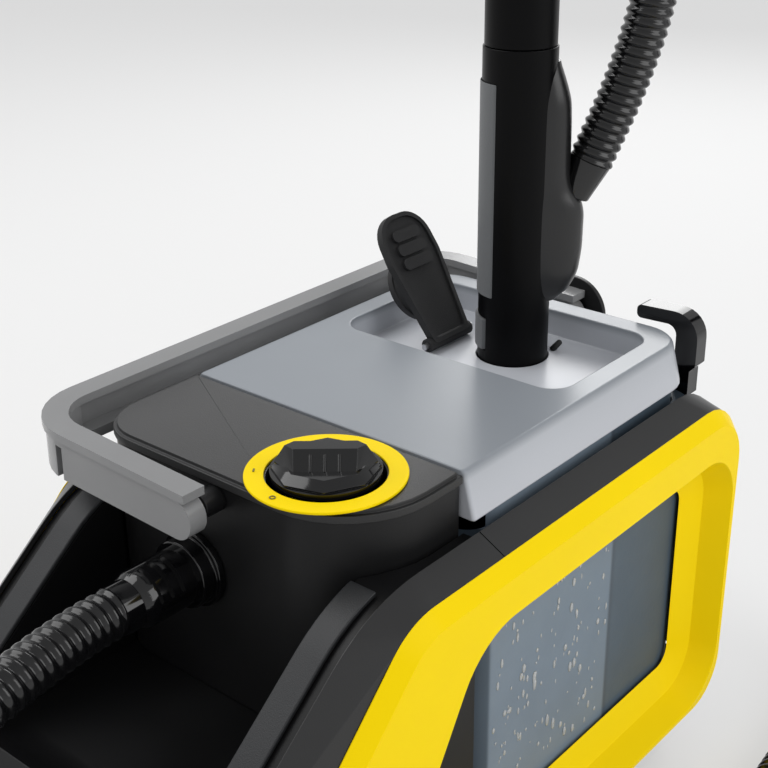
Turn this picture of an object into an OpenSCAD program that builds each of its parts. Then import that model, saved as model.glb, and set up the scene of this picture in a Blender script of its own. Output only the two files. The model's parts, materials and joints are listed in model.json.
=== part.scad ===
// Compact cordless carpet cleaner, spray-extraction type, with its handpiece parked
// in the lid's rinsing port. Millimetres. +X points to the rear, +Z up, and the
// origin is at the bottom centre, on the floor.

/* [Body] */
// Overall length, front lip to rear wall
body_l = 444; // [436:1:452]
// Overall width over the two side frames
body_w = 239; // [236:1:242]
// Height of the lid and of the top panel
top_z = 277; // [274:1:280]
// Wall thickness of the moulded shells
wall = 2.6; // [2:0.1:3]

/* [Side frames] */
// Height of the side frames' top edge
frame_top = 241; // [239:1:243]
// Height of the side frames' bottom edge
frame_bottom = 34; // [30:1:38]
// Steepness of the frames' sloping front edge, rise over run
frame_slope = 0.975; // [0.9:0.005:1.05]

/* [Hose bay] */
// Height of the bay floor
bay_floor_z = 150; // [145:1:155]
// Clear half width between the two cheeks
bay_half_w = 75; // [73:1:76]
// Top edge of the cheeks
cheek_top = 248.5; // [247:0.5:250]

/* [Top panel and dial] */
// Front edge of the top panel
nose_x = -81; // [-84:1:-78]
// Joint between top panel and lid
lid_x = -8; // [-9:1:-7]
// Dial centre, lengthwise
dial_x = -49; // [-50:1:-48]
// Dial centre, sideways
dial_y = -41; // [-42:1:-40]
// Outer radius of the yellow dial ring
dial_ring_r = 37.8; // [37:0.1:38]
// Radius of the turning knob
dial_knob_r = 26.5; // [25:0.1:27]

/* [Tank and lid] */
// Half width of the tank
tank_half_w = 95.5; // [95:0.1:96]
// Height of the tank's underside
tank_z = 62; // [61:1:64]
// Rear face of the tank
tank_rear = 203; // [200:1:204]
// Lengthwise place of the wall between dirty and clean water
divider_x = 120; // [115:1:125]
// Lengthwise place of the rinsing port
port_x = 148; // [146:1:150]
// Sideways place of the rinsing port
port_y = -5; // [-6:1:0]
// Half width of the lid's recess
recess_half_w = 74.5; // [73:0.5:76]
// Floor of the lid's recess
recess_z = 261; // [259:1:263]

/* [Handpiece] */
// Outer radius of the handpiece tube
tube_r = 20; // [19.5:0.1:20.5]
// Height of the joint between the tube and the upper grip
tube_joint_z = 436; // [430:1:440]
// Height of the handpiece's upper end
grip_end_z = 545; // [530:1:560]
// Turn of the handpiece about its own axis
hand_turn = -50; // [-55:1:-45]

/* [Hose] */
// Sideways place of the hose connector on the nose
hose_y = 17; // [10:1:20]
// Outer diameter of the ribbed hose
hose_d = 24; // [23:0.5:25]

/* [Carry handle] */
// Height of the carry handle's pivot axis
pivot_z = 264; // [262:1:266]
// Angle of the folded carry handle above the horizontal
fold_angle = 2; // [1:0.5:4]

/* [Hidden] */
$fn = 48;

half_l = body_l / 2;
half_w = body_w / 2;
gap = 0.4;                          // clearance between neighbouring mouldings
frame_bevel = 7.5;                  // bevel of the side frames' outer edge
frame_in = 97.8;                     // inner face of the side frames, from the centre
skin_in = 97;                       // inner edge of the trims, from the centre
frame_corner = [[40], [38], [35], [42], [30]];
cheek_corner = [[90], [45], [36], [40], [30]];
nose_z = bay_floor_z + 0.5;         // lower end of the nose housing
tube_low_z = 238;                   // lower end of the parked tube
dial_shaft_r = 4;
motor_y = 22;
motor_x = -45;
fan_z = 158;                        // underside of the fan
battery_x0 = 92;
battery_w = 78;
battery_h = 44;
battery_z = 12;
screw_x = [-150, 60];
valve_y = -62;
valve_x = 160;
float_x = 40;
float_y = 34;
hook_y = 80;
hook_z = 287;                       // top of the hose hook
rest_flap_angle = 57;
hinge_x = 136;
hinge_y = 32.5;
hinge_z = 265.5;
flap_l = 77;                        // length of the flap
panel_half_w = 88.5;
hose_z = 220.5;
nose_front = nose_x + 1.2;          // front face of the nose housing
socket_h = 11.8;                    // how far the hose socket stands out
cuff_h = 40.6;                      // length of the hose cuff
post_half = 22;                     // half width of the rear pivot post
bore_skin = 3.2;                    // wall left outside each blind pivot bore

// The hose's route, from the nose cuff round the front, along the floor beside the
// body, up behind it and over an arch down to the handpiece.
HOSE_LOW = [
    [-132.2, 17, 220.5], [-146, 17, 220.5], [-170, 14, 220.7], [-202, 9, 219.5], [-238, 4, 214],
    [-278, -8, 196],
    [-307, -36, 156], [-319, -77, 102], [-309, -120, 52], [-280, -151, 22], [-238, -167, 14],
    [-190, -173, 12.5], [-120, -177, 12.5], [-50, -178, 12.5], [30, -178, 12.5],
    [110, -177, 12.5], [190, -174, 12.5], [250, -168, 14], [312, -159, 27],
    [350, -152, 64], [364, -147, 116], [366, -145, 180], [366, -144, 250], [366, -143, 320],
    [366, -142, 390], [366, -141, 450], [364, -140, 510], [354, -135, 552], [332, -124, 585],
    [292, -106, 601.8], [281.6, -101.3, 602]
];
HOSE_UP = [
    [281, -101, 602], [270, -96, 601.8], [236, -80.5, 586], [208.5, -67, 553], [198, -61, 510],
    [194, -58, 475],
    [190, -54, 445], [184, -46, 411], [177, -38, 384], [174, -35, 374]
];
GLAND = [[168, -29, 354], [174, -35, 374]];      // the strain relief's two ends

// ---------- outlines ----------

// Arc that rounds corner b, between points a and c, to radius r
function corner_arc(a, b, c, r, steps) =
    let (u = (a - b) / norm(a - b), v = (c - b) / norm(c - b),
         half = acos(u * v) / 2,
         centre = b + (u + v) / norm(u + v) * r / sin(half),
         p = b + u * r / tan(half) - centre,
         q = b + v * r / tan(half) - centre,
         a0 = atan2(p.y, p.x),
         turn = atan2(q.y, q.x) - a0,
         sweep = turn > 180 ? turn - 360 : turn < -180 ? turn + 360 : turn)
    [for (i = [0 : steps]) centre + r * [cos(a0 + sweep * i / steps), sin(a0 + sweep * i / steps)]];

// Closed outline from corners [x, y, radius]
function rounded(c, steps = 8) =
    let (n = len(c))
    [for (i = [0 : n - 1])
        let (a = c[(i + n - 1) % n], b = c[i], d = c[(i + 1) % n])
        each corner_arc([a.x, a.y], [b.x, b.y], [d.x, d.y], max(b.z, 0.5), steps)];

// Side view of the machine, moved inwards by inset: a level top, an upright rear and
// front, and a front slope through the point [sx, sz]
function side_outline(inset, top, bottom, sx, sz, slope, radii) =
    let (k = norm([1, slope]) * inset,
         front = -half_l + inset, rear = half_l - inset, t = top - inset, b = bottom + inset)
    rounded([
        [sx + (t - sz + k) / slope, t, radii[0].x - inset], [rear, t, radii[1].x - inset],
        [rear, b, radii[2].x - inset], [front, b, radii[3].x - inset],
        [front, sz + slope * (front - sx) - k, radii[4].x - inset]]);

function frame_outline(inset) =
    side_outline(inset, frame_top, frame_bottom, -123, 195, frame_slope, frame_corner);
function cheek_outline(inset) =
    side_outline(inset, cheek_top, 14, -152, 194, 0.8, cheek_corner);

// Window in a side frame; grow moves its edges outwards
function window_outline(grow) =
    rounded([
        [-33 - 0.57 * grow, 213 + grow, 45 + grow], [211 + grow, 213 + grow, 34 + grow],
        [211 + grow, 44 - grow, 34 + grow], [-135 - 1.75 * grow, 44 - grow, 40 + grow]]);

// Plan of the top panel and the nose below it
function nose_plan(inset) =
    rounded([
        [lid_x - 0.4 - inset, -panel_half_w + inset, 1],
        [lid_x - 0.4 - inset, panel_half_w - inset, 1],
        [nose_x + inset, panel_half_w - inset, 28 - inset],
        [nose_x + inset, -panel_half_w + inset, 48 - inset]]);

// Rounded rectangle in plan; rf rounds the front corners and r the rear ones
function box_plan(x0, x1, half, r, rf = -1) =
    let (f = rf < 0 ? r : rf)
    rounded([[x0, -half, f], [x1, -half, r], [x1, half, r], [x0, half, f]]);

// ---------- helpers ----------

// Extrudes a side view (x, z) between two places across the machine
module across(y0, y1) {
    translate([0, y1, 0]) rotate([90, 0, 0]) linear_extrude(y1 - y0) children();
}
// Extrudes a plan between two heights
module upright(z0, z1) {
    translate([0, 0, z0]) linear_extrude(z1 - z0) children();
}
module other_side() {
    mirror([0, 1, 0]) children();
}
// Puts a child in the handpiece's own frame: +X to its back, origin on its axis
module on_hand() {
    translate([port_x, port_y, 0]) rotate([0, 0, hand_turn]) children();
}
module rod(a, b, r, r_end = -1) {
    d = b - a;
    translate(a) rotate([0, acos(d.z / norm(d)), atan2(d.y, d.x)])
        cylinder(r1 = r, r2 = r_end < 0 ? r : r_end, h = norm(d));
}
module tube(r_out, r_in, h) {
    difference() {
        cylinder(r = r_out, h = h);
        translate([0, 0, -1]) cylinder(r = r_in, h = h + 2);
    }
}
// Plain round tube along a route; each ring stands square to the route there
module hose(route, sides = 10) {
    n = len(route);
    function way(i) = route[min(i + 1, n - 1)] - route[max(i - 1, 0)];
    function ring(i) =
        let (t = way(i) / norm(way(i)), s = cross(t, [0, 1, 0]),
             u = s / norm(s), v = cross(t, u))
        [for (k = [0 : sides - 1])
            route[i] + hose_d / 2 * (u * cos(360 * k / sides) + v * sin(360 * k / sides))];
    points = [for (i = [0 : n - 1]) each ring(i)];
    skin = [for (i = [0 : n - 2], k = [0 : sides - 1])
        let (m = (k + 1) % sides)
        [i * sides + k, i * sides + m, (i + 1) * sides + m, (i + 1) * sides + k]];
    lids = [[for (k = [sides - 1 : -1 : 0]) k], [for (k = [0 : sides - 1]) (n - 1) * sides + k]];
    polyhedron(points, concat(skin, lids), convexity = 6);
}

// ---------- chassis ----------

module base_tray() color("#1d1d1f") {
    difference() {
        upright(4, 57) polygon(box_plan(-half_l + 10, half_l - 8, 94, 24));
        upright(4 + wall, 58) polygon(box_plan(-half_l + 10 + wall, half_l - 8 - wall, 94 - wall, 21));
        translate([half_l - 20, -battery_w / 2 - 1.5, battery_z - 1.5])
            cube([30, battery_w + 3, battery_h + 3]);
        for (x = [-170, 170], y = [-62, 62]) translate([x, y, 0]) cylinder(r = 4.2, h = 10);
    }
    for (x = screw_x, y = [-89, 89])
        translate([x, y, 4 + wall - 0.5]) tube(4, 1.5, 50 - wall);
}
module tank_deck() color("#202022") difference() {
    translate([lid_x + 2, -94, 57.3]) cube([half_l - 12 - lid_x, 188, 3.2]);
    translate([valve_x, valve_y, 50]) cylinder(r = 13, h = 20);
}
// Front cover: sloped face, rim and floor of the hose bay
module front_shell() color("#1a1a1c") {
    difference() {
        across(-bay_half_w + gap, bay_half_w - gap) polygon(cheek_outline(4));
        across(-bay_half_w + wall, bay_half_w - wall) polygon(cheek_outline(4 + wall));
        translate([lid_x - wall, -200, 0]) cube([400, 400, 400]);
        translate([-300, -200, 0]) cube([600, 400, 57.4]);
        across(-bay_half_w - 1, bay_half_w + 1) polygon(bay_outline(0));
    }
    difference() {
        across(-bay_half_w + gap, bay_half_w - gap) intersection() {
            polygon(cheek_outline(4 + wall / 2));
            difference() {
                polygon(bay_outline(wall));
                polygon(bay_outline(0));
                translate([lid_x - wall, 0]) square(300);
            }
        }
    }
}
// Side view of the hose bay, its floor lowered by down
function bay_outline(down) =
    rounded([
        [-230, 400, 1], [60, 400, 1], [60, bay_floor_z - down, 1],
        [-166, bay_floor_z - down, 30], [-184, bay_floor_z + 14, 8], [-230, bay_floor_z + 14, 1]]);
module cheek() difference() {
    across(-skin_in, -bay_half_w) polygon(cheek_outline(3.4));
    across(-skin_in + wall, -bay_half_w - wall) polygon(cheek_outline(3.4 + wall));
    translate([lid_x - 0.6, -200, 0]) cube([400, 400, 400]);
    translate([-300, -200, 0]) cube([600, 400, 57.4]);
}
module clear_of_nose() difference() {
    children();
    upright(0, 400) polygon(nose_plan(-gap));
}
module cheek_right() color("#17171a") clear_of_nose() cheek();
module cheek_left() color("#17171a") clear_of_nose() other_side() cheek();
// Matt strip along the top of a cheek, beside the hose bay
module rim_strip() difference() {
    across(-90, -bay_half_w) polygon(cheek_outline(0.4));
    across(-91, -bay_half_w + 1) polygon(cheek_outline(3.0));
    translate([-72, -200, 0]) cube([400, 400, 400]);
    translate([-300, -200, 0]) cube([600, 400, 120]);
}
module rim_strip_right() color("#3b3d40") clear_of_nose() rim_strip();
module rim_strip_left() color("#3b3d40") clear_of_nose() other_side() rim_strip();
module nose_housing() color("#1b1b1d") difference() {
    upright(nose_z, 270.6) polygon(nose_plan(1.2));
    upright(nose_z + wall, 266) polygon(nose_plan(1.2 + wall));
    upright(260, 280) polygon(nose_plan(5));
    translate([nose_x - 5, hose_y, hose_z]) rotate([0, 90, 0]) cylinder(r = 12, h = 20);
    translate([lid_x - 6, 40, 244]) rotate([0, 90, 0]) cylinder(r = 13, h = 20);
    translate([motor_x, motor_y, nose_z - 1]) cylinder(r = 14, h = 10);
    translate([motor_x - 20, -55, nose_z - 1]) cylinder(r = 6, h = 10);
}
module top_panel() color("#1f1f21") difference() {
    union() {
        upright(271, top_z - 2) polygon(nose_plan(0));
        upright(271, top_z) polygon(nose_plan(2));
    }
    upright(270, 273) polygon(nose_plan(4));
    translate([dial_x, dial_y, 265]) cylinder(r = dial_knob_r + 1.2, h = 20);
}
module dial_ring() color("#f5d800") translate([dial_x, dial_y, top_z + 0.1])
    tube(dial_ring_r, dial_knob_r + 2, 1.4);
module hose_socket() color("#151517") translate([nose_front, hose_y, hose_z]) rotate([0, -90, 0])
    difference() {
        union() {
            cylinder(r = 20, h = 4);
            cylinder(r = 17.5, h = socket_h);
        }
        translate([0, 0, -1]) cylinder(r = 11, h = socket_h + 2);
    }
module rear_wall() color("#18181a") difference() {
    across(-skin_in + gap, skin_in - gap) polygon(cheek_outline(1));
    across(-skin_in - 5, skin_in + 5) polygon(cheek_outline(1 + wall));
    translate([-600 + tank_rear + 3, -200, 0]) cube([600, 400, 400]);
    translate([100, -200, 0]) cube([200, 400, 57.4]);
    for (i = [0 : 5])
        translate([200, -40, 80 + 9 * i]) cube([40, 80, 3.5]);
    // pockets for the rear pivot post and for the hose hook
    translate([half_l - 20, -post_half - 0.05, pivot_z - 70]) cube([30, 2 * post_half + 0.1, 100]);
    translate([half_l - 20, -hook_y - 8.05, 196]) cube([30, 12.1, 100]);
}
module side_frame() color("#f7d900") difference() {
    union() {
        hull() {
            across(-half_w, -half_w + 0.5) polygon(frame_outline(frame_bevel));
            across(-half_w + frame_bevel - 0.5, -half_w + frame_bevel) polygon(frame_outline(0));
        }
        across(-half_w + frame_bevel - 0.2, -frame_in) polygon(frame_outline(3.6));
    }
    hull() {
        across(-half_w - 0.1, -half_w) polygon(window_outline(0));
        across(-105, -104.9) polygon(window_outline(-8));
    }
    hull() {
        across(-105, -104.9) polygon(window_outline(-8));
        across(-frame_in, -frame_in + 1) polygon(window_outline(-26));
    }
}
module side_frame_right() side_frame();
module side_frame_left() other_side() side_frame();
// Sloping black shoulder between a side frame and the top of the body
module shoulder() difference() {
    hull() {
        across(-skin_in - 0.5, -skin_in) polygon(cheek_outline(0));
        across(-half_w + frame_bevel, -half_w + frame_bevel + 0.3) polygon(frame_outline(0.3));
    }
    hull() {
        across(-skin_in - 0.3, -skin_in + 0.1) polygon(cheek_outline(3));
        across(-half_w + frame_bevel - 0.1, -half_w + frame_bevel + 0.1) polygon(frame_outline(3.2));
    }
    translate([-300, -200, 0]) cube([600, 400, 28]);
}
module trim_front() color("#141416") difference() {
    shoulder();
    translate([lid_x + 0.2, -200, -10]) cube([400, 400, 400]);
}
module trim_rear() color("#1c1c1e") difference() {
    shoulder();
    translate([-400 + lid_x + 0.8, -200, -10]) cube([400, 400, 400]);
}
module trim_front_right() trim_front();
module trim_front_left() other_side() trim_front();
module trim_rear_right() trim_rear();
module trim_rear_left() other_side() trim_rear();
module feet() color("#2a2a2a") for (x = [-170, 170], y = [-62, 62]) translate([x, y, 0]) {
    cylinder(r1 = 11, r2 = 12.5, h = 4);
    cylinder(r = 4.1, h = 7);
}
// Hook on the rear right corner that the hose hangs on: a curved arm on a root in the rear wall
module rear_hook() color("#101012") {
    translate([tank_rear + 2, 0, 0]) rotate([90, 0, 90]) linear_extrude(11)
        polygon(rounded([
            [-hook_y - 8, 236, 1], [-hook_y - 8, 252, 1], [-91.5, 256, 2], [-91.5, hook_z, 15],
            [-52, hook_z - 2, 3], [-52, hook_z - 10, 3], [-78, hook_z - 9, 6], [-78, 236, 1]]));
    intersection() {
        across(-hook_y - 8, -hook_y + 4) polygon(cheek_outline(1));
        translate([tank_rear + 2, -200, 196]) cube([50, 400, 60]);
    }
}
// Pivots of the carry handle: one on the nose, one on a post at the rear
module handle_pins() color("#26262a") {
    translate([nose_front, 0, pivot_z]) rotate([0, -90, 0]) {
        cylinder(r = 6.5, h = 12);
        cylinder(r = 5, h = 22);
    }
    translate([half_l - 4, 0, pivot_z]) {
        rotate([0, -90, 0]) cylinder(r = 5, h = 9);
        rotate([0, 90, 0]) cylinder(r = post_half, h = 3.6);
        translate([0, -post_half, -70]) cube([3.6, 2 * post_half, 70]);
    }
}
module case_screws() color("#9a9a9a") for (x = screw_x, y = [-89, 89]) translate([x, y, 0]) {
    translate([0, 0, 8]) cylinder(r = 1.45, h = 42);
    translate([0, 0, 54.4]) cylinder(r = 2.2, h = 2.4);
    translate([0, 0, 49]) cylinder(r = 1.45, h = 6);
}

// ---------- drive and electrics ----------

module suction_motor() color("#8c8f94") translate([motor_x, motor_y, 184]) {
    cylinder(r = 29, h = 50);
    cylinder(r = 12, h = 54);
    translate([0, 0, -6]) cylinder(r = 2.5, h = 8);
}
module fan_impeller() color("#c9c9c9") translate([motor_x, motor_y, fan_z]) difference() {
    union() {
        cylinder(r = 24, h = 2);
        cylinder(r = 6, h = 22);
        for (i = [0 : 8]) rotate(40 * i) translate([5, -0.8, 0]) cube([18, 1.6, 10]);
    }
    translate([0, 0, 15]) cylinder(r = 2.55, h = 10);
}
module fan_housing() color("#33363a") translate([motor_x, motor_y, fan_z - 3]) difference() {
    cylinder(r = 29.5, h = 26);
    translate([0, 0, 2]) cylinder(r = 26, h = 21);
    translate([0, 0, -1]) cylinder(r = 12, h = 30);
}
module duct_gasket() color("#333333") translate([lid_x - 1.55, 40, 244]) rotate([0, 90, 0])
    tube(17, 12.5, 1.2);
module water_pump() color("#4a4d52") translate([valve_x - 90, valve_y, 12]) {
    cylinder(r = 17, h = 34);
    translate([-17, -17, 0]) cube([34, 34, 6]);
    translate([0, 0, 34]) cylinder(r = 4, h = 6);
    translate([16, 0, 24]) rotate([0, 90, 0]) cylinder(r = 4, h = 8);
}
module feed_tube() color("#c8c8c8") {
    rod([valve_x - 65.9, valve_y, 36], [valve_x - 5, valve_y, 36], 3);
    rod([valve_x - 6, valve_y, 36], [valve_x - 6, valve_y, 47.8], 3);
}
module circuit_board() color("#1e5c33") translate([-186, -45, 122]) {
    cube([86, 90, 1.6]);
    translate([12, 10, 1.5]) cube([20, 14, 9]);
    translate([50, 18, 1.5]) cube([14, 26, 6]);
    for (i = [0 : 3]) translate([16 + 15 * i, 70, 1.5]) cylinder(r = 5, h = 12);
}
module rotary_switch() color("#d8d8d0") translate([dial_x, dial_y, 240]) difference() {
    union() {
        translate([-14, -14, 0]) cube([28, 28, 16]);
        cylinder(r = 10, h = 20);
    }
    translate([0, 0, 4]) cylinder(r = dial_shaft_r + 0.08, h = 30);
}
module battery_dock() color("#2c2e31") difference() {
    translate([battery_x0 - 8, -battery_w / 2 - 5, battery_z - 5])
        cube([116, battery_w + 10, battery_h + 5]);
    translate([battery_x0 - 2, -battery_w / 2 - 1, battery_z - 1])
        cube([140, battery_w + 2, battery_h + 10]);
}

// ---------- carry handle ----------

// Folded bail, drawn flat and then tipped up about its pivot axis: a lip all round,
// two arms, and a channel-shaped grip between them
module carry_handle() color("#7d8084") translate([0, 0, pivot_z]) rotate([fold_angle, 0, 0])
    difference() {
        union() {
            bail_band(11, 15.5, 0, 13, -8);
            bail_band(-10.4, 11.2, 1.5, 11.5, 0);
            bail_band(-10.4, -5, 1.5, 14, 60);
            for (x = bail_arms) translate([x, 0, 0]) rotate([0, 90, 0]) cylinder(r = 10.4, h = 10);
        }
        // hollow of the grip, open towards the lid
        translate([-74, 90, -5]) cube([260, 21.5, 15]);
        translate([bail_arms[0] + bore_skin, 0, 0]) rotate([0, 90, 0]) cylinder(r = 5.06, h = 14);
        translate([bail_arms[1] + 2, 0, 0]) rotate([0, 90, 0]) cylinder(r = 5.06, h = 14);
        translate([-112, 80, -12]) cube([22, 5, 19]);
    }
bail_arms = [-105.5, 206.5];
// One level of the bail, between two insets from its outer edge
module bail_band(z0, z1, outer, inner, y_from) {
    upright(z0, z1) difference() {
        polygon(bail_plan(outer));
        polygon(bail_plan(inner));
        translate([-200, -300 + y_from]) square([500, 300]);
    }
}
function bail_plan(inset) =
    rounded([
        [-107 + inset, -230, 1], [218 - inset, -230, 1],
        [218 - inset, 116 - inset, 36 - inset], [-107 + inset, 116 - inset, 36 - inset]]);

// ---------- dial ----------

module dial_knob() color("#0c0c0e") translate([dial_x, dial_y, 0]) {
    upright(top_z + 0.6, top_z + 3.4) circle(r = dial_knob_r - 0.6);
    rotate(hand_turn) {
        hull() {
            upright(top_z + 3.2, top_z + 4.2) circle(r = dial_knob_r - 1.2, $fn = 8);
            upright(top_z + 7.5, top_z + 8) circle(r = dial_knob_r - 5.5, $fn = 8);
        }
        hull() {
            upright(top_z + 6, top_z + 7) polygon(grip_plan(23.5, 14, 13.5));
            upright(top_z + 14.4, top_z + 15) polygon(grip_plan(18.5, 14.5, 4));
        }
        for (i = [-1 : 1], side = [-1, 1])
            rod([6.5 * i, side * 12.6, top_z + 7.6], [6.5 * i, side * 6.2, top_z + 13], 0.8);
    }
    upright(268, top_z + 1) circle(r = dial_knob_r - 3);
    upright(246, 269) circle(r = dial_shaft_r);
}
// Elongated hexagon: half length, half length of its long sides, half width
function grip_plan(e, c, w) = [[-e, 0], [-c, -w], [c, -w], [e, 0], [c, w], [-c, w]];

// ---------- tank ----------

module tank_shell() color([0.62, 0.66, 0.7, 0.6]) difference() {
    union() {
        upright(tank_z, 240) polygon(box_plan(lid_x + 1, tank_rear, tank_half_w, 16));
        upright(239.9, 254) polygon(box_plan(lid_x + 5, tank_rear - 4, tank_half_w - 5, 24));
    }
    upright(tank_z + wall, 255)
        polygon(box_plan(lid_x + 5 + wall, tank_rear - wall - 4, tank_half_w - wall - 5, 12));
    translate([valve_x, valve_y, tank_z - 1]) cylinder(r = 9, h = 6);
}
module tank_divider() color([0.55, 0.58, 0.62, 0.8])
    translate([divider_x - 1, -tank_half_w + wall + 5.3, tank_z + wall + 0.2])
        cube([2, 2 * (tank_half_w - wall - 5.3), 178]);
// Lid with sloping skirts, a sunk tray round the rinsing port and the port's sleeve
module tank_lid() color([0.7, 0.73, 0.77, 0.75]) difference() {
    union() {
        difference() {
            hull() {
                upright(top_z - 3, top_z - 2) polygon(box_plan(lid_x + 0.4, tank_rear - 3, 88.8, 24, 2));
                upright(top_z - 1, top_z) polygon(box_plan(lid_x + 0.4, tank_rear - 5, 87.3, 22, 2));
                upright(252, 253) polygon(box_plan(lid_x + 0.4, tank_rear + 1, 94.2, 28, 2));
            }
            difference() {
                hull() {
                    upright(top_z - 4, top_z - 2.6) polygon(box_plan(lid_x + 3, tank_rear - 6, 86, 21, 2));
                    upright(251, 252) polygon(box_plan(lid_x + 3, tank_rear - 1.6, 91.6, 25, 2));
                }
                upright(recess_z - wall, 300)
                    polygon(box_plan(90 - wall, 184 + wall, recess_half_w + wall, 16));
            }
        }
        translate([port_x, port_y, 241]) cylinder(r = tube_r + 3.4, h = 19);
    }
    upright(recess_z, 300) polygon(box_plan(90, 184, recess_half_w, 14));
    translate([port_x, port_y, 230]) cylinder(r = tube_r + 0.5, h = 60);
}
module lid_gasket() color("#5a5d60") upright(254.2, 256) difference() {
    polygon(box_plan(lid_x + 6, tank_rear - 6, tank_half_w - 6.5, 23));
    polygon(box_plan(lid_x + 10, tank_rear - 10, tank_half_w - 10.5, 19));
}
module port_seal() color("#111111") translate([port_x, port_y, 237]) tube(tube_r + 3.2, tube_r + 0.06, 3.8);
module riser_tube() color([0.5, 0.55, 0.6, 0.8]) translate([20, 40, tank_z + wall + 0.4]) tube(14, 12, 175);
module float_cage() color("#b8bcc0") translate([float_x + 30, float_y, 190]) difference() {
    cylinder(r = 20, h = 62);
    translate([0, 0, 2]) cylinder(r = 18, h = 66);
    for (a = [0 : 60 : 300]) rotate(a) translate([10, -5, 6]) cube([20, 10, 44]);
}
module float_ball() color("#e8e8e8") translate([float_x + 30, float_y, 209]) sphere(r = 16);
module valve_body() color("#3a3d40") translate([valve_x, valve_y, 0]) difference() {
    union() {
        translate([0, 0, 52]) cylinder(r = 8.7, h = 20);
        translate([0, 0, tank_z + wall + 0.2]) cylinder(r = 12, h = 4);
    }
    translate([0, 0, 48]) cylinder(r = 5, h = 30);
}
module valve_plunger() color("#c04030") translate([valve_x, valve_y, 0]) {
    translate([0, 0, 50]) cylinder(r = 3.5, h = 24);
    translate([0, 0, 72.6]) cylinder(r = 8, h = 3);
}

// ---------- flap ----------

module flap_pin() color("#888888") translate([hinge_x - 22, hinge_y, hinge_z]) rotate([0, 90, 0])
    cylinder(r = 1.8, h = 44);
module on_flap() translate([hinge_x, hinge_y, hinge_z]) rotate([rest_flap_angle, 0, 0]) children();
module port_flap() color("#161618") on_flap() difference() {
    union() {
        rotate([0, 90, 0]) translate([0, 0, -19]) cylinder(r = 4, h = 38);
        upright(0, 3) polygon(flap_plan(0));
        upright(2.9, 4.4) difference() {
            polygon(flap_plan(0));
            polygon(flap_plan(2.6));
        }
        for (i = [0 : 2]) translate([0, 47 + 8.5 * i, 2.9]) flap_slot(12.5 - i / 2, 3.4);
    }
    rotate([0, 90, 0]) translate([0, 0, -30]) cylinder(r = 1.86, h = 60);
    for (i = [0 : 2]) translate([0, 47 + 8.5 * i, 1.6]) flap_slot(11.3 - i / 2, 2.2);
}
function flap_plan(inset) =
    rounded([
        [-16 + inset, -1 + inset, 3], [16 - inset, -1 + inset, 3], [21.5 - inset, 50, 14],
        [19.5 - inset, flap_l - inset, 17 - inset], [-19.5 + inset, flap_l - inset, 17 - inset],
        [-21.5 + inset, 50, 14]]);
module flap_slot(half, r) upright(0, 2.2) polygon(box_plan(-half, half, r, r - 0.3));
module flap_plug() color("#1a1a1c") on_flap() translate([0, 34, -8]) {
    cylinder(r = 19, h = 8);
    cylinder(r = 20.2, h = 4);
}

// ---------- handpiece ----------

module wand_tube() color("#151517") on_hand() difference() {
    translate([0, 0, tube_low_z]) cylinder(r = tube_r, h = tube_joint_z - tube_low_z);
    translate([0, 0, tube_low_z - 1]) cylinder(r = tube_r - 3, h = 300);
    translate([-30, -11.3, 267.6]) cube([20, 22.6, 18.8]);
}
// Back cover: slim above, deeper below the shoulder where the hose leaves
module wand_cover() color("#232326") on_hand() difference() {
    union() {
        hull() {
            translate([14, 0, 300]) cylinder(r = 14, h = 114, $fn = 32);
            translate([8, 0, 296]) cylinder(r = 10, h = 130, $fn = 32);
        }
        hull() {
            translate([23, 0, 312]) cylinder(r = 14, h = 36, $fn = 32);
            translate([14, 0, 296]) cylinder(r = 13, h = 62, $fn = 32);
        }
    }
    translate([0, 0, 200]) cylinder(r = tube_r + 0.05, h = 300);
    rotate([0, 0, -hand_turn]) translate([-port_x, -port_y, 0])
        rod(GLAND[0], GLAND[1], 8.05, 11.65);
}
module grip_inset() color("#6b6e73") on_hand() intersection() {
    translate([0, 0, 300]) tube(tube_r + 0.9, tube_r + 0.05, 118);
    translate([-40, 0, 0]) across(-15, 15) polygon(rounded([[0, 298, 1], [30, 298, 1], [30, 420, 1],
    [0, 420, 1]]));
}
module release_button() color("#77797d") on_hand() intersection() {
    translate([0, 0, 268]) tube(tube_r + 1.4, tube_r - 2.6, 18);
    translate([-30, -11, 260]) cube([20, 22, 40]);
}
module upper_grip() color("#131315") on_hand() {
    difference() {
        translate([0, 0, tube_joint_z + 0.6]) cylinder(r = tube_r - 0.8, h = grip_end_z - tube_joint_z - 14);
        translate([0, 0, tube_joint_z - 1]) cylinder(r = tube_r - 4, h = grip_end_z - tube_joint_z - 20);
        translate([-30, -5.5, 464]) cube([30, 11, 52]);
    }
    translate([0, 0, grip_end_z - 14]) difference() {
        sphere(r = tube_r - 0.8);
        translate([-40, -40, -80]) cube([80, 80, 79.6]);
    }
    translate([-12, -13, 508]) rotate([-90, 0, 0]) cylinder(r = 2, h = 26);
}
module trigger() color("#f0d000") on_hand() difference() {
    union() {
        translate([-12, -4.8, 508]) rotate([-90, 0, 0]) cylinder(r = 4.4, h = 9.6);
        translate([-25, -4.8, 472]) cube([10, 9.6, 38]);
    }
    translate([-12, -9, 508]) rotate([-90, 0, 0]) cylinder(r = 2.05, h = 18);
}
module hose_gland() color("#0f0f11") difference() {
    rod(GLAND[0], GLAND[1], 8, 11.6);
    translate([port_x, port_y, 300]) cylinder(r = tube_r + 0.3, h = 100);
}
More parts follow.
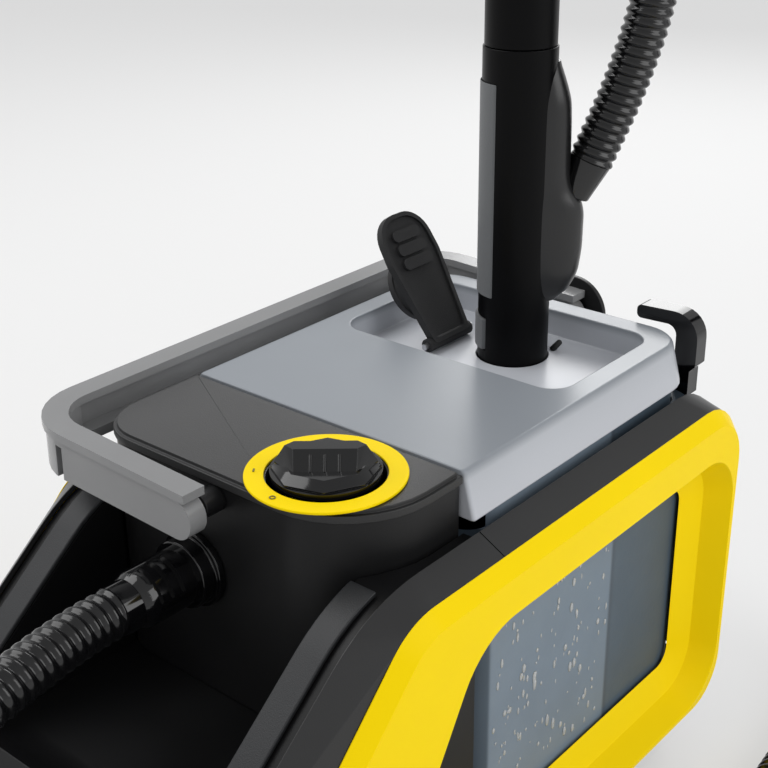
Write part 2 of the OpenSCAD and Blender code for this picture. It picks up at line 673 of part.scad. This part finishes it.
// Cuff with three grip ribs and a long side slot
module hose_cuff() color("#121214")
    translate([nose_front - socket_h, hose_y, hose_z]) rotate([0, -90, 0]) difference() {
        union() {
            cylinder(r = 14.6, h = 27);
            translate([0, 0, 27]) cylinder(r1 = 14.6, r2 = 12.6, h = 4);
            cylinder(r = 12.4, h = cuff_h);
            intersection() {
                for (i = [0 : 2]) translate([0, 0, 7 + 6.5 * i]) cylinder(r = 16.2, h = 3.2);
                rotate(-40) translate([4, -10, 0]) cube([14, 20, 30]);
            }
        }
        rotate(-92) translate([12.8, -1.5, 3]) cube([4, 3, 21]);
    }
module hose_lower() color("#0e0e10") hose(HOSE_LOW);
module hose_upper() color("#0e0e10") hose(HOSE_UP);

// ---------- battery ----------

module battery_pack() color("#2b2d30") difference() {
    translate([battery_x0, -battery_w / 2, battery_z]) cube([124, battery_w, battery_h]);
    translate([battery_x0 + 104, -14.5, battery_z + battery_h - 8]) cube([30, 29, 10]);
}
module battery_button() color("#c8c8c8")
    translate([battery_x0 + 106, -14, battery_z + battery_h - 5]) cube([17.5, 28, 4.5]);

base_tray();
tank_deck();
front_shell();
cheek_right();
cheek_left();
rim_strip_right();
rim_strip_left();
nose_housing();
top_panel();
dial_ring();
hose_socket();
rear_wall();
side_frame_right();
side_frame_left();
trim_front_right();
trim_front_left();
trim_rear_right();
trim_rear_left();
feet();
suction_motor();
fan_housing();
fan_impeller();
duct_gasket();
water_pump();
feed_tube();
circuit_board();
rotary_switch();
battery_dock();
rear_hook();
handle_pins();
case_screws();
hose_cuff();
hose_lower();
carry_handle();
dial_knob();
tank_shell();
tank_divider();
tank_lid();
lid_gasket();
port_seal();
riser_tube();
float_cage();
float_ball();
valve_body();
valve_plunger();
flap_pin();
port_flap();
flap_plug();
wand_tube();
wand_cover();
grip_inset();
upper_grip();
hose_gland();
trigger();
release_button();
hose_upper();
battery_pack();
battery_button();
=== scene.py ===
import json
import math
import random

import bmesh
import bpy
import numpy as np
from mathutils import Matrix, Vector

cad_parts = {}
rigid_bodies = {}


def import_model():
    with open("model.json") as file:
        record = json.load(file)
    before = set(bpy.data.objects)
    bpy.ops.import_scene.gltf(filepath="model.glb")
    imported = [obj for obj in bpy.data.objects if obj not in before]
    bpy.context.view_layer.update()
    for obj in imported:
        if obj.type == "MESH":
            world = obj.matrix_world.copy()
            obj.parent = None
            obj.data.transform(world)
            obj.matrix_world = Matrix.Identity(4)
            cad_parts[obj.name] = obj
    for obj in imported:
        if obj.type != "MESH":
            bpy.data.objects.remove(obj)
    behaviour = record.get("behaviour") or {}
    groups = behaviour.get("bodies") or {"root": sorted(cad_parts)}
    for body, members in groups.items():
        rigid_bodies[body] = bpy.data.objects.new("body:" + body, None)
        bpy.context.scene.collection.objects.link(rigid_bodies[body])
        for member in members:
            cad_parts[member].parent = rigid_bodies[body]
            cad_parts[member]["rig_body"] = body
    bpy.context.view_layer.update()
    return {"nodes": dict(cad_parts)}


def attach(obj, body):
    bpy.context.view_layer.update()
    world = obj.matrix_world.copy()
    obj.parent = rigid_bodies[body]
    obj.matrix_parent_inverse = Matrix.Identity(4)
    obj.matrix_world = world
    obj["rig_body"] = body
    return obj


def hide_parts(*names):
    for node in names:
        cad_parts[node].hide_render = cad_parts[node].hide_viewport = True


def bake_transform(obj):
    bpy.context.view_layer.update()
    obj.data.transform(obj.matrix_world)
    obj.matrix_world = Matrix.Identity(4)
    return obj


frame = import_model()
nodes = frame["nodes"]
MM = 0.001

# ---------------------------------------------------------------- camera
EYE = Vector((-0.450, -0.4187, 0.574))
RIGHT = Vector((0.6451, -0.7640, -0.0124))
DOWN = Vector((-0.3257, -0.2603, -0.9088))
FORWARD = Vector((0.6912, 0.5903, -0.4168))
camera = bpy.data.objects.new("camera", bpy.data.cameras.new("camera"))
bpy.context.scene.collection.objects.link(camera)
camera.data.sensor_width = 36.0
camera.data.lens = 64.3
camera.data.clip_start = 0.01
camera.data.clip_end = 60
turn = Matrix((RIGHT, -DOWN, -FORWARD)).transposed()
camera.matrix_world = Matrix.Translation(EYE) @ turn.to_4x4()
bpy.context.scene.camera = camera


# ---------------------------------------------------------------- materials
ROUGH_SPREAD = 0.03  # how far the gloss wanders either side of its mean
LOW, HIGH = 0.15, 0.85  # the part of the noise's range that is used


def material(name, colour, rough=0.4, grain=0.0, grain_size=0.0006, mottle=0.05, mottle_size=0.05,
             coat=0.0, metallic=0.0, specular=0.5, transmission=0.0, ior=1.5, painted_light=None, sheen=0.0):
    """Moulded surface: fine grain in the bump, slow mottling in colour and gloss.

    A ramp of (axis, low, high, stops) paints light and shade into the colour: multiples of the colour
    along one axis, in metres.
    """
    m = bpy.data.materials.new(name)
    m.use_nodes = True
    t = m.node_tree
    p = t.nodes["Principled BSDF"]
    p.inputs["Metallic"].default_value = metallic
    p.inputs["Specular IOR Level"].default_value = specular
    p.inputs["Coat Weight"].default_value = coat
    p.inputs["Coat Roughness"].default_value = 0.08
    p.inputs["Transmission Weight"].default_value = transmission
    p.inputs["IOR"].default_value = ior
    p.inputs["Sheen Weight"].default_value = sheen
    place = t.nodes.new("ShaderNodeTexCoord").outputs["Object"]

    def noise(size, detail=2.0):
        n = t.nodes.new("ShaderNodeTexNoise")
        n.inputs["Scale"].default_value = 1 / size
        n.inputs["Detail"].default_value = detail
        t.links.new(place, n.inputs["Vector"])
        return n.outputs["Fac"]

    def ramp(value, stops):
        r = t.nodes.new("ShaderNodeValToRGB")
        e = r.color_ramp.elements
        while len(e) > 1:
            e.remove(e[-1])
        e[0].position, e[0].color = stops[0][0], (*stops[0][1], 1)
        for where, c in stops[1:]:
            k = e.new(where)
            k.color = (*c, 1)
        t.links.new(value, r.inputs["Fac"])
        return r.outputs["Color"]

    def along(axis, low, high):
        split = t.nodes.new("ShaderNodeSeparateXYZ")
        t.links.new(place, split.inputs[0])
        r = t.nodes.new("ShaderNodeMapRange")
        r.inputs["From Min"].default_value = low
        r.inputs["From Max"].default_value = high
        t.links.new(split.outputs[axis], r.inputs["Value"])
        return r.outputs["Result"]

    slow = noise(mottle_size, 3.0)
    dark = tuple(c * (1 - mottle) for c in colour)
    light = tuple(min(1, c * (1 + mottle)) for c in colour)
    base = ramp(slow, [(LOW, dark), (HIGH, light)])
    # Painted light and shade: the colour is multiplied by a ramp along one axis.
    if painted_light:
        axis, start, end, stops = painted_light
        mix = t.nodes.new("ShaderNodeMix")
        mix.data_type = "RGBA"
        mix.blend_type = "MULTIPLY"
        mix.inputs["Factor"].default_value = 1.0
        t.links.new(base, mix.inputs["A"])
        t.links.new(ramp(along(axis, start, end), stops), mix.inputs["B"])
        base = mix.outputs["Result"]
    t.links.new(base, p.inputs["Base Color"])
    r = t.nodes.new("ShaderNodeMapRange")
    r.inputs["From Min"].default_value = LOW
    r.inputs["From Max"].default_value = HIGH
    r.inputs["To Min"].default_value = max(0.02, rough - ROUGH_SPREAD)
    r.inputs["To Max"].default_value = min(1, rough + ROUGH_SPREAD)
    t.links.new(noise(mottle_size * 0.4, 4.0), r.inputs["Value"])
    t.links.new(r.outputs["Result"], p.inputs["Roughness"])
    if grain:
        bump = t.nodes.new("ShaderNodeBump")
        bump.inputs["Strength"].default_value = grain
        bump.inputs["Distance"].default_value = 0.0002
        t.links.new(noise(grain_size, 2.0), bump.inputs["Height"])
        t.links.new(bump.outputs["Normal"], p.inputs["Normal"])
    return m


black_satin = material("black_satin", (0.008, 0.008, 0.0085), 0.40, 0.25, 0.0007, specular=0.30)
black_bay = material("black_bay", (0.006, 0.006, 0.0065), 0.38, 0.12, 0.0007, specular=0.22)
black_shoulder = material("black_shoulder", (0.018, 0.018, 0.0185), 0.34, 0.15, 0.0007, specular=0.45)
black_gloss = material("black_gloss", (0.003, 0.003, 0.0035), 0.09, 0.0, 0.001, specular=0.55)
# Painted sheen and shade: lighter than the other blacks, and graded along Y from a third of its colour on
# the right (-Y) to full on the left.
panel_black_painted_sheen = material("panel_black_painted_sheen", (0.045, 0.045, 0.046), 0.40, 0.45, 0.0006, specular=0.5,
                       painted_light=("Y", -0.08, 0.06, [(0.0, (0.30, 0.30, 0.30)), (1.0, (1.0, 1.0, 1.0))]))
cover_black = material("cover_black", (0.010, 0.010, 0.0105), 0.30, 0.15, 0.0007, specular=0.45)
wand_black = material("wand_black", (0.0015, 0.0015, 0.0018), 0.34, 0.10, 0.0007, specular=0.10)
strip_grey = material("strip_grey", (0.022, 0.023, 0.025), 0.44, 0.5, 0.0006, specular=0.32)
yellow = material("yellow", (0.97, 0.70, 0.0), 0.38, 0.12, 0.0008, 0.02, specular=0.07)
yellow_ring = material("yellow_ring", (0.96, 0.70, 0.0), 0.45, 0.2, 0.0005, 0.02, specular=0.07)
rubber = material("rubber", (0.022, 0.022, 0.023), 0.60, 0.7, 0.0005, specular=0.28)
grip_grey = material("grip_grey", (0.115, 0.12, 0.125), 0.62, 0.8, 0.0006, specular=0.3, sheen=0.15)
hose_black = material("hose_black", (0.0045, 0.0045, 0.005), 0.17, 0.0, 0.001, specular=0.5)
handle_grey = material("handle_grey", (0.29, 0.292, 0.296), 0.24, 0.0, 0.001, specular=0.5,
                       transmission=0.2, ior=1.4)
# Painted light: the lid's lower rim is brightened about twofold, standing in for light glowing through the
# translucent skirt.
lid_blue_painted_light = material("lid_blue_painted_light", (0.255, 0.275, 0.302), 0.30, 0.0, 0.001, 0.03, 0.09, specular=0.4,
                    painted_light=("Z", 0.252, 0.277, [(0.0, (2.15, 2.05, 2.0)), (0.80, (1.8, 1.74, 1.70)),
                                              (0.97, (1.0, 1.0, 1.0))]))
# Painted shade: full colour only across the side window, x 7 to 117 mm; elsewhere a third to a half of it
# and a sixth at the rear end, for the frame's shade on the tank.
tank_blue_painted_shade = material(
    "tank_blue_painted_shade", (0.185, 0.232, 0.285), 0.42, 0.35, 0.004, 0.08, 0.03, specular=0.2,
    painted_light=("X", -0.008, 0.204, [(0.0, (0.30, 0.32, 0.34)), (0.062, (0.34, 0.37, 0.39)),
                               (0.072, (1.0, 1.0, 1.0)), (0.59, (0.92, 0.94, 0.95)),
                               (0.602, (0.36, 0.38, 0.40)), (0.618, (0.42, 0.47, 0.50)),
                               (0.88, (0.33, 0.38, 0.41)), (1.0, (0.16, 0.17, 0.18))]))
steel = material("steel", (0.55, 0.55, 0.57), 0.32, 0.2, 0.0009, 0.06, metallic=1.0)
board = material("board", (0.02, 0.12, 0.05), 0.35, 0.2, 0.002, 0.2)
white_part = material("white_part", (0.62, 0.62, 0.60), 0.45, 0.3, 0.0008, 0.05)
dark_part = material("dark_part", (0.035, 0.037, 0.04), 0.50, 0.6, 0.0006, 0.12)
red_part = material("red_part", (0.42, 0.05, 0.03), 0.40, 0.3, 0.0007, 0.06)
print_grey = material("print_grey", (0.16, 0.13, 0.02), 0.5, 0.3, 0.0005, 0.1)
water = material("water", (0.62, 0.66, 0.70), 0.05, 0.0, 0.001, 0.05, coat=1.0, transmission=0.4, ior=1.33)


# ---------------------------------------------------------------- mesh helpers
def linked(name, data):
    o = bpy.data.objects.new(name, data)
    bpy.context.scene.collection.objects.link(o)
    return o


def loft_faces(rings, sides):
    """Faces of a closed skin over rings of vertices, with a cap at each end."""
    faces = []
    for i in range(rings - 1):
        a, b = i * sides, (i + 1) * sides
        for k in range(sides):
            m = (k + 1) % sides
            faces.append((a + k, a + m, b + m, b + k))
    faces.append(tuple(range(sides))[::-1])
    faces.append(tuple((rings - 1) * sides + k for k in range(sides)))
    return faces


def piece(name, verts, faces, mat, body, smooth=True):
    mesh = bpy.data.meshes.new(name)
    mesh.from_pydata([tuple(v) for v in verts], [], faces)
    mesh.update()
    b = bmesh.new()
    b.from_mesh(mesh)
    bmesh.ops.recalc_face_normals(b, faces=b.faces)
    b.to_mesh(mesh)
    b.free()
    mesh.materials.append(mat)
    mesh.polygons.foreach_set("use_smooth", [smooth] * len(mesh.polygons))
    o = linked(name, mesh)
    if body:
        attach(o, body)
    return o


def smooth_path(points, step):
    """Points every step along a Catmull-Rom curve through the route."""
    p = [Vector(q) for q in points]
    ends = [p[0] * 2 - p[1]] + p + [p[-1] * 2 - p[-2]]
    dense = []
    for i in range(1, len(ends) - 2):
        a, b, c, d = ends[i - 1:i + 3]
        t1 = max((b - a).length, 1e-6) ** 0.5
        t2 = max((c - b).length, 1e-6) ** 0.5
        t3 = max((d - c).length, 1e-6) ** 0.5
        m1 = (b - a) / t1 - (c - a) / (t1 + t2) + (c - b) / t2
        m2 = (c - b) / t2 - (d - b) / (t2 + t3) + (d - c) / t3
        m1, m2 = m1 * t2, m2 * t2
        for k in range(40):
            s = k / 40
            dense.append(b * (2 * s**3 - 3 * s**2 + 1) + m1 * (s**3 - 2 * s**2 + s)
                         + c * (3 * s**2 - 2 * s**3) + m2 * (s**3 - s**2))
    dense.append(p[-1])
    far = [0.0]
    for a, b in zip(dense, dense[1:]):
        far.append(far[-1] + (b - a).length)
    n = max(2, round(far[-1] / step))
    out, j = [], 0
    for i in range(n + 1):
        want = far[-1] * i / n
        while j < len(far) - 2 and far[j + 1] < want:
            j += 1
        f = (want - far[j]) / max(far[j + 1] - far[j], 1e-9)
        out.append(dense[j].lerp(dense[j + 1], min(1, f)))
    return out, far[-1]


def ribbed_hose(name, route, pitch, low=0.0108, high=0.0123, sides=28, steps=8):
    """Hose with a rounded spiral rib over a slimmer core, swept with a turn-free frame."""
    line, length = smooth_path(route, pitch / steps)
    n = len(line)
    way = [(line[min(i + 1, n - 1)] - line[max(i - 1, 0)]).normalized() for i in range(n)]
    side = way[0].cross(Vector((0, 1, 0))).normalized()
    verts = []
    for i in range(n):
        side = (side - way[i] * side.dot(way[i])).normalized()
        up = way[i].cross(side)
        for k in range(sides):
            a = 2 * math.pi * k / sides
            turn_at = 2 * math.pi * (i / steps - k / sides)
            r = low + (high - low) * (0.5 - 0.5 * math.cos(turn_at)) ** 0.75
            verts.append(line[i] + (side * math.cos(a) + up * math.sin(a)) * r)
    o = piece(name, verts, loft_faces(n, sides), hose_black, None)
    coarse = [tuple(line[i]) for i in range(0, n, steps)] + [tuple(line[-1])]
    return o, coarse, length


# ---------------------------------------------------------------- the hose
def metres(points):
    return [tuple(c * MM for c in p) for p in points]


HOSE_LOW = metres([
    (-132.2, 17, 220.5), (-146, 17, 220.5), (-170, 14, 220.7), (-202, 9, 219.5), (-238, 4, 214),
    (-278, -8, 196), (-307, -36, 156), (-319, -77, 102), (-309, -120, 52), (-280, -151, 22),
    (-238, -167, 14), (-190, -173, 12.5), (-120, -177, 12.5), (-50, -178, 12.5), (30, -178, 12.5),
    (110, -177, 12.5), (190, -174, 12.5), (250, -168, 14), (312, -159, 27), (350, -152, 64),
    (364, -147, 116), (366, -145, 180), (366, -144, 250), (366, -143, 320), (366, -142, 390),
    (366, -141, 450), (364, -140, 510), (354, -135, 552), (332, -124, 585), (292, -106, 601.8),
    (281.6, -101.3, 602)])
HOSE_UP = metres([
    (281, -101, 602), (270, -96, 601.8), (236, -80.5, 586), (208.5, -67, 553), (198, -61, 510),
    (194, -58, 475), (190, -54, 445), (184, -46, 411), (177, -38, 384), (174, -35, 374)])
lower, lower_path, lower_length = ribbed_hose("hose_lower_ribbed", HOSE_LOW, 0.0060)
upper, upper_path, upper_length = ribbed_hose("hose_upper_ribbed", HOSE_UP, 0.0052)
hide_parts("hose_lower")
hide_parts("hose_upper")
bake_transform(lower)
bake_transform(upper)


# ---------------------------------------------------------------- softened CAD parts
def applied(o):
    """Turns the object's modifiers into its mesh."""
    graph = bpy.context.evaluated_depsgraph_get()
    mesh = bpy.data.meshes.new_from_object(o.evaluated_get(graph))
    o.modifiers.clear()
    o.data = mesh
    return mesh


def soften(name, node, mat, width):
    """The node's own form with its sharp edges rounded, as a moulded part has them."""
    source = nodes[node]
    b = bmesh.new()
    b.from_mesh(source.data)
    bmesh.ops.remove_doubles(b, verts=b.verts, dist=2e-5)
    bmesh.ops.dissolve_limit(b, angle_limit=math.radians(0.6), verts=b.verts, edges=b.edges)
    mesh = bpy.data.meshes.new(name)
    b.to_mesh(mesh)
    b.free()
    mesh.materials.append(mat)
    o = linked(name, mesh)
    bevel = o.modifiers.new("bevel", "BEVEL")
    bevel.width = width * MM
    bevel.segments = 2
    bevel.limit_method = "ANGLE"
    bevel.angle_limit = math.radians(32)
    bevel.use_clamp_overlap = True
    bevel.harden_normals = False
    mesh = applied(o)
    mesh.polygons.foreach_set("use_smooth", [True] * len(mesh.polygons))
    mesh.set_sharp_from_angle(angle=math.radians(38))
    o.modifiers.new("even", "WEIGHTED_NORMAL").keep_sharp = True
    applied(o)
    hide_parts(node)
    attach(o, source["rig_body"])


SOFT = [  # piece, node, material, slot, edge radius in mm
    ("front_cover", "front_shell", black_bay, "black_satin", 1.5),
    ("cheek_skin_right", "cheek_right", black_bay, "black_satin", 1.2),
    ("cheek_skin_left", "cheek_left", black_bay, "black_satin", 1.2),
    ("bay_strip_right", "rim_strip_right", strip_grey, "grey_matt", 0.8),
    ("bay_strip_left", "rim_strip_left", strip_grey, "grey_matt", 0.8),
    ("nose_skin", "nose_housing", black_satin, "black_satin", 0.8),
    ("top_panel_skin", "top_panel", panel_black_painted_sheen, "black_satin", 0.9),
    ("dial_ring_skin", "dial_ring", yellow_ring, "yellow", 0.4),
    ("hose_socket_skin", "hose_socket", black_gloss, "black_gloss", 0.8),
    ("hose_cuff_skin", "hose_cuff", black_gloss, "black_gloss", 0.6),
    ("rear_wall_skin", "rear_wall", black_satin, "black_satin", 0.7),
    ("side_frame_skin_right", "side_frame_right", yellow, "yellow", 1.3),
    ("side_frame_skin_left", "side_frame_left", yellow, "yellow", 1.3),
    ("shoulder_front_right", "trim_front_right", black_shoulder, "black_satin", 0.6),
    ("shoulder_front_left", "trim_front_left", black_shoulder, "black_satin", 0.6),
    ("shoulder_rear_right", "trim_rear_right", black_shoulder, "black_satin", 0.6),
    ("shoulder_rear_left", "trim_rear_left", black_shoulder, "black_satin", 0.6),
    ("hose_hook_skin", "rear_hook", black_gloss, "black_gloss", 1.0),
    ("handle_pin_skin", "handle_pins", black_satin, "inner_dark", 0.8),
    ("carry_handle_skin", "carry_handle", handle_grey, "handle_grey", 1.1),
    ("dial_knob_skin", "dial_knob", black_gloss, "black_gloss", 0.7),
    ("tank_skin", "tank_shell", tank_blue_painted_shade, "tank_clear", 1.2),
    ("lid_skin", "tank_lid", lid_blue_painted_light, "lid_clear", 1.2),
    ("flap_skin", "port_flap", rubber, "rubber_black", 0.5),
    ("flap_plug_skin", "flap_plug", rubber, "rubber_black", 1.5),
    ("wand_tube_skin", "wand_tube", wand_black, "black_satin", 0.5),
    ("grip_inset_skin", "grip_inset", grip_grey, "grip_grey", 0.7),
    ("upper_grip_skin", "upper_grip", wand_black, "black_satin", 0.6),
    ("hose_gland_skin", "hose_gland", black_gloss, "black_gloss", 1.0),
    ("trigger_skin", "trigger", yellow, "yellow", 0.8),
    ("release_button_skin", "release_button", grip_grey, "grip_grey", 1.2),
    ("battery_skin", "battery_pack", dark_part, "inner_dark", 2.0),
    ("battery_button_skin", "battery_button", white_part, "inner_white", 0.8),
    ("feet_skin", "feet", rubber, "rubber_black", 1.0),
    ("base_skin", "base_tray", black_satin, "black_satin", 1.2),
]
for name, node, mat, slot, width in SOFT:
    soften(name, node, mat, width)

# ---------------------------------------------------------------- handpiece cover
HAND_TURN = math.radians(-50)
PORT = Vector((0.148, -0.005, 0))
COVER = [  # height, reach from the tube's axis, half width, in mm
    (296, 22.0, 9.0), (298, 26.5, 12.0), (303, 31.0, 14.0), (312, 35.2, 15.2), (325, 36.8, 15.6),
    (346, 37.0, 15.6), (353, 35.0, 15.4), (359, 30.6, 15.0), (366, 28.6, 15.0), (395, 28.2, 15.0),
    (407, 27.6, 14.8), (415, 25.4, 13.6), (422, 23.0, 11.8), (428, 20.8, 8.0)]


def cover_section(z):
    for low, high in zip(COVER, COVER[1:]):
        if low[0] <= z <= high[0]:
            t = (z - low[0]) / (high[0] - low[0])
            return [a + (b - a) * t for a, b in zip(low[1:], high[1:])]
    return list(COVER[-1][1:])


def wand_cover():
    """Soft-touch back of the handpiece, lofted from rounded sections that start in the tube."""
    inside, around, rings = 10.0, 28, 88
    ex = Vector((math.cos(HAND_TURN), math.sin(HAND_TURN), 0))
    ey = Vector((-ex.y, ex.x, 0))
    heights = [COVER[0][0] + (COVER[-1][0] - COVER[0][0]) * i / rings for i in range(rings + 1)]
    raw = [cover_section(z) for z in heights]
    kept = [np.mean([raw[min(max(i + d, 0), rings)] for d in (-2, -1, 0, 1, 2)], axis=0)
            for i in range(rings + 1)]
    verts = []
    for z, (reach, half) in zip(heights, kept):
        for k in range(around + 1):
            a = -math.pi / 2 + math.pi * k / around
            x = inside + (reach - inside) * math.cos(a) ** 0.7 if abs(a) < 1.5707 else inside
            y = half * math.copysign(abs(math.sin(a)) ** 0.85, a)
            verts.append(PORT + (ex * x + ey * y) * MM + Vector((0, 0, z * MM)))
    faces = loft_faces(rings + 1, around + 1)
    o = piece("wand_cover_soft", verts, faces, cover_black, "handpiece")
    o.data.set_sharp_from_angle(angle=math.radians(50))
    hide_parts("wand_cover")


wand_cover()


def port_tab():
    """Short rounded tab that stands beside the rinsing port."""
    start, way = Vector((0.1655, -0.0205, 0.2610)), Vector((0.55, -0.45, 0.70)).normalized()
    u = way.cross(Vector((0, 0, 1))).normalized()
    v = way.cross(u)
    outline = [(0, 0.0019), (0.004, 0.0018), (0.0065, 0.0017), (0.0073, 0.0012), (0.0076, 0.0004)]
    verts, sides = [], 14
    for along, r in outline:
        for k in range(sides):
            a = 2 * math.pi * k / sides
            verts.append(start + way * along + (u * math.cos(a) + v * math.sin(a)) * r)
    piece("port_tab", verts, loft_faces(len(outline), sides), rubber, "tank")


port_tab()

# ---------------------------------------------------------------- pieces that keep their CAD form
PLAIN = {
    "tank_deck": dark_part, "suction_motor": steel, "fan_housing": dark_part, "duct_gasket": rubber,
    "fan_impeller": white_part, "water_pump": dark_part, "feed_tube": white_part,
    "circuit_board": board, "rotary_switch": white_part, "battery_dock": dark_part,
    "case_screws": steel, "tank_divider": tank_blue_painted_shade, "lid_gasket": rubber, "port_seal": rubber,
    "riser_tube": tank_blue_painted_shade, "float_cage": white_part, "float_ball": white_part,
    "valve_body": dark_part, "valve_plunger": red_part, "flap_pin": steel,
}
for node, mat in PLAIN.items():
    data = nodes[node].data
    data.materials.clear()
    data.materials.append(mat)


# ---------------------------------------------------------------- marks on the dial ring
DIAL = Vector((-0.049, -0.041, 0.2787))
MARK_RADIUS = 0.0332  # from the dial's axis to a mark
MARK_HEIGHT = 0.00025


def ring_mark(name, inner, outer, sides, turn_deg, at_deg, squeeze=1.0):
    """Flat raised outline: a ring for the off mark, a bar when inner is zero."""
    verts = []
    a0 = math.radians(at_deg)
    centre = DIAL + Vector((math.cos(a0) * MARK_RADIUS, math.sin(a0) * MARK_RADIUS, 0))
    for z in (0.0, MARK_HEIGHT):
        for r in (outer, inner) if inner else (outer,):
            for k in range(sides):
                a = 2 * math.pi * k / sides + math.pi / 4
                x, y = r * math.cos(a) * squeeze, r * math.sin(a)
                t = math.radians(turn_deg)
                verts.append(centre + Vector((x * math.cos(t) - y * math.sin(t),
                                              x * math.sin(t) + y * math.cos(t), z)))
    if inner:
        faces = []
        for k in range(sides):
            m = (k + 1) % sides
            o, i, o2, i2 = 0, sides, 2 * sides, 3 * sides
            faces += [(o2 + k, o2 + m, i2 + m, i2 + k), (o + k, i + k, i + m, o + m),
                      (o + k, o + m, o2 + m, o2 + k), (i + k, i2 + k, i2 + m, i + m)]
    else:
        faces = [tuple(range(sides))[::-1], tuple(range(sides, 2 * sides))]
        faces += [(k, (k + 1) % sides, sides + (k + 1) % sides, sides + k) for k in range(sides)]
    piece(name, verts, faces, print_grey, "root", smooth=False)


ring_mark("dial_mark_on", 0, 0.0019, 4, 128, 128, squeeze=0.3)
ring_mark("dial_mark_off", 0.0010, 0.0015, 24, 0, 177)


# ---------------------------------------------------------------- condensation on the tank
TANK_SIDE = -0.0955  # outer face of the tank's right wall
SAG = 1.25  # how much longer a drop is below its middle
BULGE = 0.45  # how far a drop stands off the wall, as a part of its half width


def drops():
    """Scattered drops on the tank's right wall, each a flattened dome that sags a little."""
    rng = random.Random(7)
    verts, faces = [], []
    for _ in range(150):
        x, z = rng.uniform(0.010, 0.116), rng.uniform(0.075, 0.20)
        w = rng.choice([0.0006, 0.0008, 0.0009, 0.0012, 0.0016])
        tall = w * rng.uniform(1.0, 2.4)
        base = len(verts)
        rings, sides = 3, 10
        verts.append(Vector((x, TANK_SIDE - w * BULGE, z)))
        for i in range(1, rings + 1):
            a = math.pi / 2 * i / rings
            for k in range(sides):
                b = 2 * math.pi * k / sides
                sag = SAG if math.sin(b) < 0 else 1.0
                verts.append(Vector((x + w * math.sin(a) * math.cos(b),
                                     TANK_SIDE - w * BULGE * math.cos(a),
                                     z + tall * math.sin(a) * math.sin(b) * sag)))
        for k in range(sides):
            faces.append((base, base + 1 + k, base + 1 + (k + 1) % sides))
        for i in range(rings - 1):
            for k in range(sides):
                p, q = base + 1 + i * sides, base + 1 + (i + 1) * sides
                m = (k + 1) % sides
                faces.append((p + k, q + k, q + m, p + m))
        faces.append(tuple(base + 1 + (rings - 1) * sides + k for k in range(sides)))
    piece("condensation_drops", verts, faces, water, "tank")


drops()

# ---------------------------------------------------------------- floor, world and lights
floor_mesh = bpy.data.meshes.new("floor")
floor_mesh.from_pydata([(-6, -6, 0), (8, -6, 0), (8, 8, 0), (-6, 8, 0)], [], [(0, 1, 2, 3)])
floor = linked("floor", floor_mesh)
floor_mat = bpy.data.materials.new("floor")
floor_mat.use_nodes = True
floor_shader = floor_mat.node_tree.nodes["Principled BSDF"]
floor_shader.inputs["Base Color"].default_value = (0.36, 0.36, 0.36, 1)
floor_shader.inputs["Roughness"].default_value = 0.9
floor_shader.inputs["Specular IOR Level"].default_value = 0.05
floor_shader.inputs["Emission Color"].default_value = (1, 1, 1, 1)
floor_shader.inputs["Emission Strength"].default_value = 0.46
floor_mesh.materials.append(floor_mat)

world = bpy.data.worlds.new("world")
bpy.context.scene.world = world
world.use_nodes = True
sky = world.node_tree
split = sky.nodes.new("ShaderNodeSeparateXYZ")
sky.links.new(sky.nodes.new("ShaderNodeTexCoord").outputs["Generated"], split.inputs[0])
fade = sky.nodes.new("ShaderNodeMapRange")
fade.inputs["To Min"].default_value = 0.76
fade.inputs["To Max"].default_value = 0.52
sky.links.new(split.outputs["Z"], fade.inputs["Value"])
sky.nodes["Background"].inputs["Color"].default_value = (0.99, 0.995, 1.0, 1)
sky.links.new(fade.outputs["Result"], sky.nodes["Background"].inputs["Strength"])
bpy.context.scene.view_settings.view_transform = "Standard"


def softbox(name, place, aim, size, power):
    light = bpy.data.lights.new(name, "AREA")
    light.energy = power
    light.size = size
    o = linked(name, light)
    o.location = place
    o.rotation_euler = (Vector(aim) - Vector(place)).to_track_quat("-Z", "Y").to_euler()


softbox("key", (-0.5, 1.2, 1.9), (0, 0, 0.2), 1.5, 19)
softbox("side", (0.5, -1.9, 1.2), (0.05, 0, 0.15), 1.5, 15)
softbox("back", (1.8, 0.7, 1.3), (0.1, 0, 0.25), 1.0, 14)
